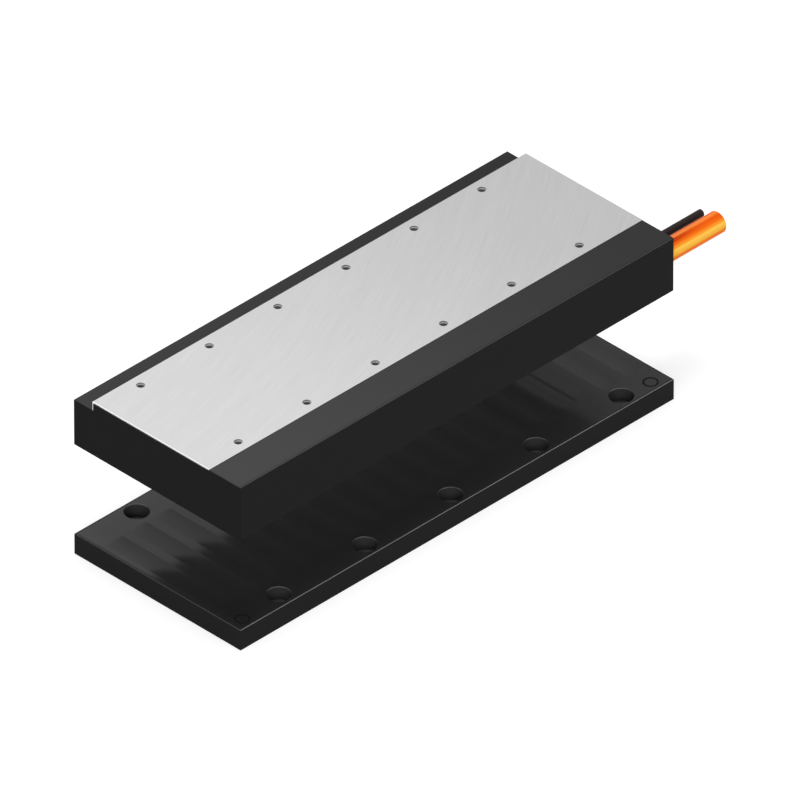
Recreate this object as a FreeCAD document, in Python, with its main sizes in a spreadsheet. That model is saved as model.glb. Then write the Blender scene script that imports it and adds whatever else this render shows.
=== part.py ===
import FreeCAD, Part
import math
import os
import re
import Sketcher

# A frameless iron-core linear motor: a coil unit, the forcer, that travels along X above a flat magnet track.
# Millimetres. The origin is the centre of the track's underside, X runs along the travel towards the
# end where the cables leave, and Z points up, from the track to the forcer.

# Driving dimensions: name, value and what it measures
DIMENSIONS = [
    ("track_height", 10.0, "height of the track"),
    ("track_edge", 0.2, "chamfer on the track's top edges"),
    ("pocket_end_wall", 1.5, "back iron left standing at each end of the magnet pocket"),
    ("pocket_corner", 3.0, "corner radius that the milling cutter leaves"),
    ("magnet_count", 18.0, "magnets in one section"),
    ("magnet_pitch", 13.79, "distance from a pole to the next one"),
    ("magnet_width", 9.3, "magnet size along the travel"),
    ("magnet_length", 65.5, "magnet size across the travel"),
    ("magnet_thickness", 4.2, "magnet height"),
    ("magnet_recess", 0.4, "depth of the magnets below the track's top"),
    ("window_clearance", 0.05, "gap round a magnet in its window"),
    ("frame_clearance", 0.05, "gap round the magnet frame in its pocket"),
    ("frame_rim", 1.2, "frame material beyond the ends of the magnets"),
    ("frame_end_rim", 1.535, "frame material before the first magnet and after the last"),
    ("track_hole_columns", 5.0, "fixing holes along the track"),
    ("track_hole_pitch", 49.4, "spacing of the fixing holes along the track"),
    ("track_hole_centre", 2.6, "middle of the hole pattern, from the middle of the track"),
    ("track_hole_bore", 6.6, "clearance hole for an M6 screw"),
    ("track_head_bore", 11.0, "counterbore for the head of an M6 screw"),
    ("track_head_depth", 6.5, "depth of that counterbore"),
    ("head_wall", 1.45, "back iron between the magnet pocket and the counterbores"),
    ("head_rim", 1.5, "back iron outside the counterbores"),
    ("raised_gap", 44.4, "gap between the track and the forcer as they are shown"),
    ("start_wall", 10.08, "cast body beyond the stack, at the closed end"),
    ("cable_end_wall", 18.88, "cast body beyond the stack, at the cable end"),
    ("far_wall", 13.56, "cast body beyond the coils, on the side away from the cables"),
    ("forcer_edge", 0.2, "chamfer on the cast body's edges"),
    ("ledge_drop", 4.1, "how far the far ledge lies below the plate"),
    ("plate_width", 67.3, "width of the mounting plate"),
    ("plate_thickness", 8.0, "thickness of the mounting plate"),
    ("plate_end_skin", 0.3, "resin over the plate's left end"),
    ("skin_setback", 0.65, "plate corner that the end skin leaves bare"),
    ("end_skin_drop", 0.6, "how far that skin lies below the plate's top"),
    ("plate_hole_columns", 6.0, "tapped holes along the plate"),
    ("plate_hole_pitch", 39.24, "spacing of the tapped holes along the plate"),
    ("plate_hole_rows", 56.2, "spacing of the two rows of tapped holes"),
    ("tap_bore", 3.3, "core bore of an M4 thread"),
    ("tap_depth", 6.0, "depth of a tapped hole"),
    ("core_centre", -4.6, "middle of the stack and of the tapped holes, from the middle of the track"),
    ("bottom_skin", 0.8, "resin between the teeth and the air gap"),
    ("coil_count", 12.0, "teeth, each with a coil"),
    ("tooth_width", 9.0, "tooth size along the travel"),
    ("tooth_height", 12.4, "height of a tooth below the yoke"),
    ("yoke_height", 5.2, "height of the yoke above the teeth"),
    ("stack_width", 60.0, "width of the lamination stack"),
    ("dovetail_height", 2.0, "height of the dovetails that hang the stack from the plate"),
    ("dovetail_neck", 4.0, "width of a dovetail where it leaves the plate"),
    ("dovetail_foot", 6.0, "width of a dovetail at its free face"),
    ("tie_bar_width", 3.0, "width of the tie bars through the stack"),
    ("tie_bar_height", 2.0, "height of a tie bar"),
    ("tie_bar_depth", 2.0, "distance of the tie bars below the plate"),
    ("wedge_cover", 0.2, "tooth left below a slot wedge"),
    ("wedge_thickness", 0.8, "thickness of a slot wedge"),
    ("wedge_notch", 0.5, "depth of the notch that holds a slot wedge"),
    ("bobbin_wall", 0.6, "wall of a coil bobbin"),
    ("bobbin_flange", 0.6, "flange of a coil bobbin"),
    ("coil_bevel", 3.0, "bevel on a winding's outer corners"),
    ("flange_reach", 1.5, "upper flange beyond the stack, on the side of the leads"),
    ("separator_thickness", 0.5, "sheet between neighbouring coils"),
    ("lead_width", 1.2, "size of a coil lead's square section"),
    ("lead_spacing", 9.0, "distance between the two leads of a coil"),
    ("bar_thickness", 0.8, "thickness of a bus bar"),
    ("bar_height", 7.0, "height of a bus bar"),
    ("bar_clearance", 2.86, "gap between the coils and the nearest bus bar"),
    ("bar_overhang", 1.5, "bar beyond its last lead"),
    ("tab_width", 2.4, "width of a bus bar's tab"),
    ("tab_thickness", 1.0, "thickness of a bus bar's tab"),
    ("tab_clearance", 0.5, "gap between a tab and the bars that it crosses"),
    ("tab_margin", 1.3, "tab beyond the middle of its lead"),
    ("holder_length", 4.0, "bar holder size along the travel"),
    ("holder_rim", 1.2, "holder material round the bars"),
    ("block_size", 1.5, "square end of a phase bar, where its core is welded on"),
    ("block_length", 2.5, "length of that end"),
    ("block_gap", 0.6, "gap between a bar's end and the block that passes it"),
    ("cable_from_side", 8.5, "power cable's axis, from the near side"),
    ("cable_diameter", 9.8, "outside of the power cable"),
    ("cable_reach", 34.4, "power cable beyond the end of the forcer"),
    ("jacket_grip", 5.1, "jackets inside the cast body"),
    ("core_diameter", 2.4, "outside of an insulated core"),
    ("core_gap", 0.146, "gap between neighbouring cores"),
    ("earth_clearance", 2.28, "gap between the stack and the earth strip"),
    ("earth_from_edge", 6.0, "middle of the earth boss, from the plate's near edge"),
    ("earth_strip_width", 4.0, "width of the earth strip"),
    ("earth_strip_thickness", 0.8, "thickness of the earth strip"),
    ("earth_boss_width", 6.0, "size across the travel of the boss that the earth strip is welded to"),
    ("cable_spacing", 9.3, "distance between the axes of the two cables"),
    ("sensor_cable_diameter", 3.5, "outside of the sensor cable"),
    ("sensor_cable_reach", 34.1, "sensor cable beyond the end of the forcer"),
    ("sensor_wire_width", 0.7, "size of an insulated sensor wire's square section"),
    ("sensor_wire_offset", 0.5, "sensor wire's axis from its cable's"),
    ("sensor_count", 3.0, "temperature sensors, one for each phase"),
    ("sensor_size", 1.8, "size of a sensor bead's square section"),
    ("sensor_length", 5.0, "length of a sensor bead"),
    ("sensor_clearance", 0.1, "gap between a bead and the yoke beside it and the flange under it"),
    ("sensor_return", 1.7, "distance between the sensor wire and its return run"),
    ("sensor_fan", 4.6, "length over which the sensor wires change their place"),
    ("sensor_fan_gap", 0.6, "straight sensor wire between that stretch and the jacket"),
]

DOC = FreeCAD.newDocument("linear_motor")
SIZES = DOC.addObject("Spreadsheet::Sheet", "sizes")
ALIASES = {name for name, _, _ in DIMENSIONS}
PARTS = {}


def fill_sheet():
    """Write each driving dimension in a row of the sheet: its meaning, its number and its alias."""
    for row, (name, value, meaning) in enumerate(DIMENSIONS, start=1):
        SIZES.set("A%d" % row, meaning)
        SIZES.set("B%d" % row, repr(value))
        SIZES.setAlias("B%d" % row, name)
    DOC.recompute()


def bound(formula):
    """The formula with each driving dimension's name pointed at its cell."""
    def cell(word):
        name = word.group()
        return "sizes." + name if name in ALIASES else name

    return re.sub(r"[a-z_]+", cell, formula)


def number(formula):
    """The formula's present value."""
    return float(SIZES.evalExpression(bound(formula)))


# Places worked out from the driving dimensions. Those of the track come first
FRAME_END = "(magnet_pitch * (magnet_count - 1) / 2 + magnet_width / 2 + window_clearance + frame_end_rim)"
FRAME_SIDE = "(magnet_length / 2 + window_clearance + frame_rim)"
POCKET_END = f"({FRAME_END} + frame_clearance)"
POCKET_SIDE = f"({FRAME_SIDE} + frame_clearance)"
POCKET_DEPTH = "(magnet_thickness + magnet_recess)"
POCKET_FLOOR = f"(track_height - {POCKET_DEPTH})"
TRACK_END = f"({POCKET_END} + pocket_end_wall)"
TRACK_HOLE_ROW = f"({POCKET_SIDE} + head_wall + track_head_bore / 2)"
TRACK_SIDE = f"({TRACK_HOLE_ROW} + track_head_bore / 2 + head_rim)"

# The forcer's core and plate. Heights on the forcer are from its own underside
FORCER_LIFT = "(track_height + raised_gap)"
COIL_PITCH = "(magnet_pitch * 4 / 3)"
CORE_LEFT = f"(core_centre - coil_count * {COIL_PITCH} / 2)"
CORE_RIGHT = f"(core_centre + coil_count * {COIL_PITCH} / 2)"
FORCER_START = f"({CORE_LEFT} - start_wall)"
FORCER_END = f"({CORE_RIGHT} + cable_end_wall)"
FIRST_TOOTH = f"({CORE_LEFT} + {COIL_PITCH} / 2)"
LAST_TOOTH = f"({CORE_RIGHT} - {COIL_PITCH} / 2)"
YOKE_BOTTOM = "(bottom_skin + tooth_height)"
CORE_TOP = f"({YOKE_BOTTOM} + yoke_height)"
FORCER_TOP = f"({CORE_TOP} + plate_thickness)"
PLATE_NEAR = "(-stack_width / 2)"
PLATE_FAR = f"({PLATE_NEAR} + plate_width)"
PLATE_MIDDLE = f"({PLATE_NEAR} + plate_width / 2)"

# Its windings
WEDGE_BOTTOM = "(bottom_skin + wedge_cover)"
WEDGE_TOP = f"({WEDGE_BOTTOM} + wedge_thickness)"
COIL_HALF_LENGTH = f"(({COIL_PITCH} - separator_thickness) / 2)"
COIL_OVERHANG = f"({COIL_HALF_LENGTH} - tooth_width / 2)"
COIL_HALF_WIDTH = f"(stack_width / 2 + {COIL_OVERHANG})"
COIL_BOTTOM = f"({WEDGE_TOP} + bobbin_flange)"
COIL_TOP = f"({YOKE_BOTTOM} - bobbin_flange)"
LEAD_LINE = f"(-stack_width / 2 - ({COIL_OVERHANG} + bobbin_wall) / 2)"

# Its connections. Both cables lie level with the yoke's underside
CORE_OFFSET = "((core_diameter + core_gap) / sqrt(2))"
CABLE_LINE = f"(-{COIL_HALF_WIDTH} - bar_clearance - bar_thickness / 2 - {CORE_OFFSET})"
CABLE_HEIGHT = YOKE_BOTTOM
FORCER_NEAR = f"({CABLE_LINE} - cable_from_side)"
FORCER_FAR = f"({COIL_HALF_WIDTH} + far_wall)"
BAR_BOTTOM = f"({CABLE_HEIGHT} - bar_height / 2)"
BAR_TOP = f"({CABLE_HEIGHT} + bar_height / 2)"
TAB_BOTTOM = f"({BAR_TOP} + tab_clearance)"
TAB_TOP = f"({TAB_BOTTOM} + tab_thickness)"
PHASE_BAR_END = f"({LAST_TOOTH} + bar_overhang)"
JACKET_START = f"({FORCER_END} - jacket_grip)"
CABLE_CUT = f"({FORCER_END} + cable_reach)"
EARTH_X = f"({CORE_RIGHT} + earth_clearance + earth_strip_width / 2)"
EARTH_Y = f"({PLATE_NEAR} + earth_from_edge)"
EARTH_STRIP_BOTTOM = f"({CABLE_HEIGHT} - earth_strip_thickness / 2)"
EARTH_STRIP_TOP = f"({CABLE_HEIGHT} + earth_strip_thickness / 2)"
SENSOR_CABLE_LINE = f"({CABLE_LINE} + cable_spacing)"
SENSOR_STANDOFF = "(sensor_size / 2 + sensor_clearance)"
SENSOR_LINE = f"(-stack_width / 2 - {SENSOR_STANDOFF})"
SENSOR_HEIGHT = f"({YOKE_BOTTOM} + {SENSOR_STANDOFF})"
FIRST_SENSOR = f"({LAST_TOOTH} - (sensor_count - 1) * {COIL_PITCH})"
SENSOR_CUT = f"({FORCER_END} + sensor_cable_reach)"


def new_body(label, lift="0"):
    """A body with its own label, raised by the lift. Repeated pieces are separate solids in one body."""
    body = DOC.addObject("PartDesign::Body", label)
    body.Label = label
    body.AllowCompound = True
    body.setExpression("Placement.Base.z", bound(lift))
    PARTS[label] = body
    return body


def origin_feature(body, role):
    """The body's own origin plane or axis that plays the role."""
    return [feature for feature in body.Origin.OriginFeatures if feature.Role == role][0]


def new_sketch(body, plane, place="0"):
    """A sketch on the XY, XZ or YZ plane of the body, moved along the axis that the plane lacks."""
    sketch = body.newObject("Sketcher::SketchObject", "Sketch")
    sketch.AttachmentSupport = [(origin_feature(body, plane + "_Plane"), "")]
    sketch.MapMode = "FlatFace"
    # The XZ plane faces against the Y axis
    sign = "-" if plane == "XZ" else ""
    sketch.setExpression("AttachmentOffset.Base.z", bound(f"{sign}({place})"))
    return sketch


def datum(sketch, kind, formula, *ends):
    """A dimension of the sketch that follows the formula."""
    index = sketch.addConstraint(Sketcher.Constraint(kind, *ends, number(formula)))
    sketch.setExpression("Constraints[%d]" % index, bound(formula))


def polygon(sketch, corners):
    """A closed outline through the corners, each held by its two distances from the origin."""
    first = sketch.GeometryCount
    points = [FreeCAD.Vector(number(x), number(y), 0) for x, y in corners]
    for here, there in zip(points, points[1:] + points[:1]):
        sketch.addGeometry(Part.LineSegment(here, there), False)
    for index, (x, y) in enumerate(corners):
        line = first + index
        following = first + (index + 1) % len(corners)
        sketch.addConstraint(Sketcher.Constraint("Coincident", line, 2, following, 1))
        datum(sketch, "DistanceX", x, -1, 1, line, 1)
        datum(sketch, "DistanceY", y, -1, 1, line, 1)


def rectangle(sketch, left, right, bottom, top):
    """A rectangle between two places along each axis."""
    polygon(sketch, [(left, bottom), (right, bottom), (right, top), (left, top)])


def circle(sketch, x, y, diameter):
    """A circle held by its centre and its diameter."""
    centre = FreeCAD.Vector(number(x), number(y), 0)
    index = sketch.addGeometry(Part.Circle(centre, FreeCAD.Vector(0, 0, 1), number(diameter) / 2), False)
    datum(sketch, "DistanceX", x, -1, 1, index, 3)
    datum(sketch, "DistanceY", y, -1, 1, index, 3)
    datum(sketch, "Diameter", diameter, index)


def rounded_rectangle(sketch, left, right, bottom, top, radius):
    """A rectangle whose four corners are tangent arcs of one radius."""
    x_low, x_high, y_low, y_high, bend = [number(value) for value in (left, right, bottom, top, radius)]
    corners = [(x_high - bend, y_low + bend), (x_high - bend, y_high - bend),
               (x_low + bend, y_high - bend), (x_low + bend, y_low + bend)]
    first = sketch.GeometryCount
    for turn, (x, y) in enumerate(corners):
        start = (turn - 1) * math.pi / 2
        round_corner = Part.Circle(FreeCAD.Vector(x, y, 0), FreeCAD.Vector(0, 0, 1), bend)
        sketch.addGeometry(Part.ArcOfCircle(round_corner, start, start + math.pi / 2), False)
    arcs = [sketch.Geometry[first + turn] for turn in range(4)]
    for turn in range(4):
        side = Part.LineSegment(arcs[turn].EndPoint, arcs[(turn + 1) % 4].StartPoint)
        sketch.addGeometry(side, False)
    for turn in range(4):
        side = first + 4 + turn
        sketch.addConstraint(Sketcher.Constraint("Tangent", first + turn, 2, side, 1))
        sketch.addConstraint(Sketcher.Constraint("Tangent", side, 2, first + (turn + 1) % 4, 1))
        sketch.addConstraint(Sketcher.Constraint("Vertical" if turn % 2 == 0 else "Horizontal", side))
        if turn:
            sketch.addConstraint(Sketcher.Constraint("Equal", first, first + turn))
    datum(sketch, "Radius", radius, first)
    datum(sketch, "DistanceX", right, -1, 1, first + 4, 1)
    datum(sketch, "DistanceY", top, -1, 1, first + 5, 1)
    datum(sketch, "DistanceX", left, -1, 1, first + 6, 1)
    datum(sketch, "DistanceY", bottom, -1, 1, first + 7, 1)


def extrude(body, kind, sketch, length, both_ways=False, other_way=False):
    """A pad or a pocket of the sketch. A pocket must take material away."""
    before = body.Shape.Volume if kind == "Pocket" else 0
    feature = body.newObject("PartDesign::" + kind, kind)
    feature.Profile = sketch
    feature.setExpression("Length", bound(length))
    feature.Reversed = other_way
    if both_ways:
        feature.SideType = "Symmetric"
    DOC.recompute()
    if kind == "Pocket" and not body.Shape.Volume < before:
        raise RuntimeError(body.Label + ": a pocket cuts nothing")
    return feature


def pad(body, sketch, length, **options):
    """A pad of the sketch."""
    return extrude(body, "Pad", sketch, length, **options)


def pocket(body, sketch, length, **options):
    """A pocket of the sketch."""
    return extrude(body, "Pocket", sketch, length, **options)


def row(body, features, pitch, count, axis="X"):
    """The features repeated along one of the body's axes."""
    pattern = body.newObject("PartDesign::LinearPattern", "LinearPattern")
    pattern.Originals = features
    pattern.Direction = (origin_feature(body, axis + "_Axis"), [""])
    pattern.setExpression("Length", bound(f"({pitch}) * ({count} - 1)"))
    pattern.setExpression("Occurrences", bound(count))
    body.Tip = pattern
    DOC.recompute()
    return pattern


def edges_where(shape, test):
    """Names of the shape's edges whose bounding box passes the test."""
    return ["Edge%d" % index for index, edge in enumerate(shape.Edges, start=1) if test(edge.BoundBox)]


def same(one, other):
    """Two places that coincide."""
    return abs(one - other) < 1e-4


def edge_feature(body, kind, size, base, edges, value):
    """A chamfer or a fillet of one size on the named edges."""
    feature = body.newObject("PartDesign::" + kind, kind)
    feature.Base = (base, edges)
    feature.setExpression(size, bound(value))
    DOC.recompute()
    return feature


# Track

def make_back_iron():
    """Steel plate: chamfered top edges, a milled pocket for the magnets and two rows of screw holes."""
    body = new_body("back_iron")
    slab = new_sketch(body, "XY")
    rectangle(slab, f"-{TRACK_END}", TRACK_END, f"-{TRACK_SIDE}", TRACK_SIDE)
    block = pad(body, slab, "track_height")
    top = number("track_height")
    rims = edges_where(block.Shape, lambda box: same(box.ZMin, top) and same(box.ZMax, top))
    edge_feature(body, "Chamfer", "Size", block, rims, "track_edge")
    well = new_sketch(body, "XY", "track_height")
    rounded_rectangle(well, f"-{POCKET_END}", POCKET_END, f"-{POCKET_SIDE}", POCKET_SIDE, "pocket_corner")
    pocket(body, well, POCKET_DEPTH)
    marks = new_sketch(body, "XY", "track_height")
    first = "(track_hole_centre - track_hole_pitch * (track_hole_columns - 1) / 2)"
    for side in ("-", ""):
        circle(marks, first, f"{side}{TRACK_HOLE_ROW}", "track_hole_bore")
    DOC.recompute()
    hole = body.newObject("PartDesign::Hole", "Hole")
    hole.Profile = marks
    hole.DepthType = "ThroughAll"
    hole.setExpression("Diameter", bound("track_hole_bore"))
    hole.HoleCutType = "Counterbore"
    hole.HoleCutCustomValues = True
    hole.setExpression("HoleCutDiameter", bound("track_head_bore"))
    hole.setExpression("HoleCutDepth", bound("track_head_depth"))
    DOC.recompute()
    row(body, [hole], "track_hole_pitch", "track_hole_columns")


def make_magnet_frame():
    """Moulded frame in the pocket, flush with the back iron, with a window round each magnet."""
    body = new_body("magnet_frame")
    outline = new_sketch(body, "XY", POCKET_FLOOR)
    corner = "pocket_corner - frame_clearance"
    rounded_rectangle(outline, f"-{FRAME_END}", FRAME_END, f"-{FRAME_SIDE}", FRAME_SIDE, corner)
    pad(body, outline, POCKET_DEPTH)
    window = new_sketch(body, "XY", "track_height")
    first = "(-magnet_pitch * (magnet_count - 1) / 2)"
    opening = "(magnet_width / 2 + window_clearance)"
    reach = "(magnet_length / 2 + window_clearance)"
    rectangle(window, f"{first} - {opening}", f"{first} + {opening}", f"-{reach}", reach)
    row(body, [pocket(body, window, POCKET_DEPTH)], "magnet_pitch", "magnet_count")


def make_magnets(label, place):
    """Every second magnet of the row, on the floor of the pocket."""
    body = new_body(label)
    bar = new_sketch(body, "XY", POCKET_FLOOR)
    middle = f"(magnet_pitch * ({place} - (magnet_count - 1) / 2))"
    rectangle(bar, f"{middle} - magnet_width / 2", f"{middle} + magnet_width / 2",
              "-magnet_length / 2", "magnet_length / 2")
    row(body, [pad(body, bar, "magnet_thickness")], "2 * magnet_pitch", "magnet_count / 2")


# Forcer: plate and iron core

def make_mounting_plate():
    """Aluminium plate: tapped holes on top, dovetail ribs for the stack and an earth boss below."""
    body = new_body("mounting_plate", FORCER_LIFT)
    slab = new_sketch(body, "XY", CORE_TOP)
    rectangle(slab, f"{FORCER_START} + plate_end_skin", FORCER_END, PLATE_NEAR, PLATE_FAR)
    pad(body, slab, "plate_thickness")
    row(body, [pad(body, dovetail_sketch(body), "stack_width", both_ways=True)],
        f"2 * {COIL_PITCH}", "coil_count / 2")
    boss = new_sketch(body, "XY", EARTH_STRIP_TOP)
    rectangle(boss, f"{EARTH_X} - earth_strip_width / 2", f"{EARTH_X} + earth_strip_width / 2",
              f"{EARTH_Y} - earth_boss_width / 2", f"{EARTH_Y} + earth_boss_width / 2")
    pad(body, boss, f"{CORE_TOP} - {EARTH_STRIP_TOP}")
    marks = new_sketch(body, "XY", FORCER_TOP)
    first = "(core_centre - plate_hole_pitch * (plate_hole_columns - 1) / 2)"
    for side in ("-", "+"):
        circle(marks, first, f"{PLATE_MIDDLE} {side} plate_hole_rows / 2", "tap_bore")
    DOC.recompute()
    hole = body.newObject("PartDesign::Hole", "Hole")
    hole.Profile = marks
    hole.DepthType = "Dimension"
    hole.DrillPoint = "Flat"
    hole.setExpression("Diameter", bound("tap_bore"))
    hole.setExpression("Depth", bound("tap_depth"))
    DOC.recompute()
    row(body, [hole], "plate_hole_pitch", "plate_hole_columns")


def dovetail_sketch(body):
    """The first dovetail, over the first tooth: narrow at the plate and wide at its free face."""
    sketch = new_sketch(body, "XZ")
    foot = f"({CORE_TOP} - dovetail_height)"
    polygon(sketch, [(f"{FIRST_TOOTH} - dovetail_neck / 2", CORE_TOP),
                     (f"{FIRST_TOOTH} - dovetail_foot / 2", foot),
                     (f"{FIRST_TOOTH} + dovetail_foot / 2", foot),
                     (f"{FIRST_TOOTH} + dovetail_neck / 2", CORE_TOP)])
    return sketch


def tie_bar_sketch(body):
    """The first tie bar's section, in the yoke over the second tooth."""
    sketch = new_sketch(body, "XZ")
    middle = f"({FIRST_TOOTH} + {COIL_PITCH})"
    top = f"({CORE_TOP} - tie_bar_depth)"
    rectangle(sketch, f"{middle} - tie_bar_width / 2", f"{middle} + tie_bar_width / 2",
              f"{top} - tie_bar_height", top)
    return sketch


def make_stack():
    """The comb that the laminations share, as one block: yoke, teeth notched for the slot wedges,
    dovetail grooves over every second tooth and slots for the tie bars over the others."""
    body = new_body("lamination_stack", FORCER_LIFT)
    yoke = new_sketch(body, "XZ")
    rectangle(yoke, CORE_LEFT, CORE_RIGHT, YOKE_BOTTOM, CORE_TOP)
    pad(body, yoke, "stack_width", both_ways=True)
    tooth = new_sketch(body, "XZ")
    right = [("tooth_width / 2", "bottom_skin"), ("tooth_width / 2", WEDGE_BOTTOM),
             ("tooth_width / 2 - wedge_notch", WEDGE_BOTTOM), ("tooth_width / 2 - wedge_notch", WEDGE_TOP),
             ("tooth_width / 2", WEDGE_TOP), ("tooth_width / 2", YOKE_BOTTOM)]
    corners = [(f"{FIRST_TOOTH} + {x}", z) for x, z in right]
    corners += [(f"{FIRST_TOOTH} - ({x})", z) for x, z in reversed(right)]
    polygon(tooth, corners)
    row(body, [pad(body, tooth, "stack_width", both_ways=True)], COIL_PITCH, "coil_count")
    for section in (dovetail_sketch(body), tie_bar_sketch(body)):
        cut = pocket(body, section, "stack_width", both_ways=True)
        row(body, [cut], f"2 * {COIL_PITCH}", "coil_count / 2")


def make_tie_bars():
    """Flat bars that tie the laminations together, in the yoke between the dovetails."""
    body = new_body("stack_tie_bars", FORCER_LIFT)
    bar = pad(body, tie_bar_sketch(body), "stack_width", both_ways=True)
    row(body, [bar], f"2 * {COIL_PITCH}", "coil_count / 2")


# Forcer: windings

def coil_outline(sketch, tooth):
    """The outer outline of the coil on a tooth, with bevelled corners."""
    left, right = f"({tooth} - {COIL_HALF_LENGTH})", f"({tooth} + {COIL_HALF_LENGTH})"
    side, bevelled = COIL_HALF_WIDTH, f"({COIL_HALF_WIDTH} - coil_bevel)"
    polygon(sketch, [(f"{left} + coil_bevel", f"-{side}"), (f"{right} - coil_bevel", f"-{side}"),
                     (right, f"-{bevelled}"), (right, bevelled),
                     (f"{right} - coil_bevel", side), (f"{left} + coil_bevel", side),
                     (left, bevelled), (left, f"-{bevelled}")])


def upper_flange_outline(sketch, tooth):
    """The upper flange's outline: as the coil's, but cut short where the leads rise past it."""
    left, right = f"({tooth} - {COIL_HALF_LENGTH})", f"({tooth} + {COIL_HALF_LENGTH})"
    near = "(-stack_width / 2 - flange_reach)"
    polygon(sketch, [(left, near), (right, near), (right, f"{COIL_HALF_WIDTH} - coil_bevel"),
                     (f"{right} - coil_bevel", COIL_HALF_WIDTH), (f"{left} + coil_bevel", COIL_HALF_WIDTH),
                     (left, f"{COIL_HALF_WIDTH} - coil_bevel")])


def bobbin_outline(sketch, tooth):
    """The outline that a winding is wound on."""
    half_length = "(tooth_width / 2 + bobbin_wall)"
    half_width = "(stack_width / 2 + bobbin_wall)"
    rectangle(sketch, f"{tooth} - {half_length}", f"{tooth} + {half_length}", f"-{half_width}", half_width)


def tooth_outline(sketch, tooth):
    """The tooth in plan."""
    rectangle(sketch, f"{tooth} - tooth_width / 2", f"{tooth} + tooth_width / 2",
              "-stack_width / 2", "stack_width / 2")


def lead_outlines(sketch, tooth):
    """The two leads of a coil in plan."""
    for side in ("-", "+"):
        middle = f"({tooth} {side} lead_spacing / 2)"
        rectangle(sketch, f"{middle} - lead_width / 2", f"{middle} + lead_width / 2",
                  f"{LEAD_LINE} - lead_width / 2", f"{LEAD_LINE} + lead_width / 2")


def make_bobbins():
    """Twelve moulded bobbins: a thin wall round the tooth and a flange at each end."""
    body = new_body("coil_bobbins", FORCER_LIFT)
    layers = [(coil_outline, WEDGE_TOP, COIL_BOTTOM), (bobbin_outline, COIL_BOTTOM, COIL_TOP),
              (upper_flange_outline, COIL_TOP, YOKE_BOTTOM)]
    features = []
    for outline, low, high in layers:
        layer = new_sketch(body, "XY", low)
        outline(layer, FIRST_TOOTH)
        tooth_outline(layer, FIRST_TOOTH)
        features.append(pad(body, layer, f"{high} - {low}"))
    row(body, features, COIL_PITCH, "coil_count")


def make_coils(label, phase):
    """The windings of one phase, on every third tooth, each with its two leads."""
    body = new_body(label, FORCER_LIFT)
    tooth = f"({FIRST_TOOTH} + {phase} * {COIL_PITCH})"
    winding = new_sketch(body, "XY", COIL_BOTTOM)
    coil_outline(winding, tooth)
    bobbin_outline(winding, tooth)
    features = [pad(body, winding, f"{COIL_TOP} - {COIL_BOTTOM}")]
    leads = new_sketch(body, "XY", COIL_TOP)
    lead_outlines(leads, tooth)
    features.append(pad(body, leads, f"{TAB_BOTTOM} - {COIL_TOP}"))
    row(body, features, f"3 * {COIL_PITCH}", "coil_count / 3")


def make_separators():
    """Insulating sheets between neighbouring coils."""
    body = new_body("slot_separators", FORCER_LIFT)
    sheet = new_sketch(body, "XZ")
    middle = f"({CORE_LEFT} + {COIL_PITCH})"
    rectangle(sheet, f"{middle} - separator_thickness / 2", f"{middle} + separator_thickness / 2",
              WEDGE_TOP, YOKE_BOTTOM)
    row(body, [pad(body, sheet, "stack_width", both_ways=True)], COIL_PITCH, "coil_count - 1")


def make_wedges():
    """Strips that close the slots, held in the notches of the teeth."""
    body = new_body("slot_wedges", FORCER_LIFT)
    strip = new_sketch(body, "XZ")
    middle = f"({CORE_LEFT} + {COIL_PITCH})"
    half = f"(({COIL_PITCH} - tooth_width) / 2 + wedge_notch)"
    rectangle(strip, f"{middle} - {half}", f"{middle} + {half}", WEDGE_BOTTOM, WEDGE_TOP)
    row(body, [pad(body, strip, "stack_width", both_ways=True)], COIL_PITCH, "coil_count - 1")


# Forcer: connections

def bar_line(place):
    """The middle plane of a bus bar, counted in core spacings from the power cable's axis."""
    return f"({CABLE_LINE} + ({place}) * {CORE_OFFSET})"


def make_bus_bar(label, place, first_lead, tab_pitch, tab_count, end):
    """A flat bar on edge with a bent tab that is welded to the top of each of its coil leads."""
    body = new_body(label, FORCER_LIFT)
    line = bar_line(place)
    strip = new_sketch(body, "XZ", line)
    start = f"{FIRST_TOOTH} - lead_spacing / 2 - bar_overhang"
    rectangle(strip, start, end, BAR_BOTTOM, BAR_TOP)
    pad(body, strip, "bar_thickness", both_ways=True)
    tab = new_sketch(body, "YZ", first_lead)
    near = f"({line} - bar_thickness / 2)"
    far = f"({line} + bar_thickness / 2)"
    tip = f"({LEAD_LINE} + tab_margin)"
    root = f"({BAR_TOP} - tab_thickness)"
    polygon(tab, [(near, root), (far, root), (far, TAB_BOTTOM), (tip, TAB_BOTTOM), (tip, TAB_TOP),
                  (near, TAB_TOP)])
    row(body, [pad(body, tab, "tab_width", both_ways=True)], tab_pitch, tab_count)
    return body


def add_weld_block(body, place, core_place, end):
    """The square end of a phase bar, which reaches from the bar to its core."""
    across, up = core_place
    block = new_sketch(body, "YZ", end)
    reach = (min(across, place), max(across, place))
    low, high = [bar_line(step) for step in reach]
    rectangle(block, f"{low} - block_size / 2", f"{high} + block_size / 2",
              f"{CABLE_HEIGHT} + ({up}) * {CORE_OFFSET} - block_size / 2",
              f"{CABLE_HEIGHT} + ({up}) * {CORE_OFFSET} + block_size / 2")
    pad(body, block, "block_length")


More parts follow.
